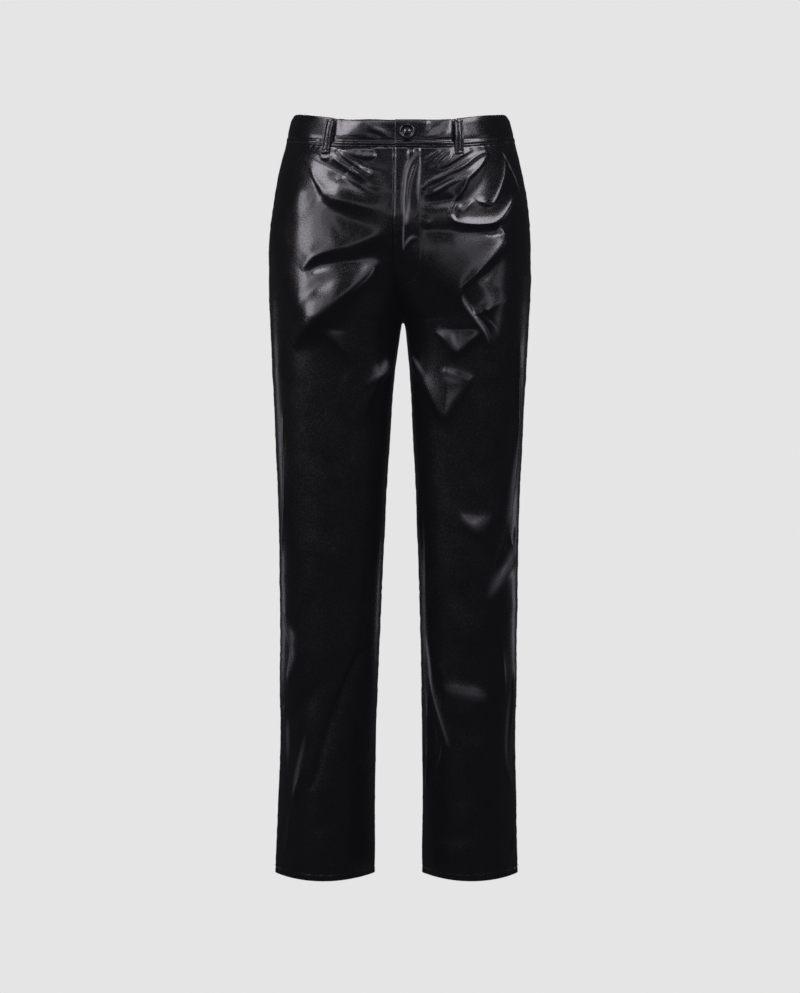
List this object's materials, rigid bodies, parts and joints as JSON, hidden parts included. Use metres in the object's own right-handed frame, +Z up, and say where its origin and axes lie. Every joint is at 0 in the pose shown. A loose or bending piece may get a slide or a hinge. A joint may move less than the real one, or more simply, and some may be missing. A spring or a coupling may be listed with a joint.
{
  "type": "faux leather trousers",
  "caption": "Straight-leg faux leather trousers in a hollow worn form, with a shaped waistband, belt loops, a button, a lapped fly and slant side pockets.",
  "frame": {"origin": "centre of the waist opening, at half the height of the waistband's sides, where the wearer holds the garment up", "axes": "+Z up along the legs, -Y the wearer's front, +X the wearer's left"},
  "size_m": [0.3609, 0.2418, 1.0451],
  "materials": {
    "leather": "black coated faux leather with a fine pebbled grain, glossy",
    "button": "polished black"
  },
  "bodies": {
    "root": {"front_left": "leather", "front_right": "leather", "back_left": "leather", "back_right": "leather", "pocket_facing_left": "leather", "pocket_facing_right": "leather", "waistband_left": "leather", "waistband_right": "leather", "belt_loop_front_left": "leather", "belt_loop_front_right": "leather", "belt_loop_back_left": "leather", "belt_loop_back_centre": "leather", "belt_loop_back_right": "leather", "button": "button"}
  },
  "joints": []
}
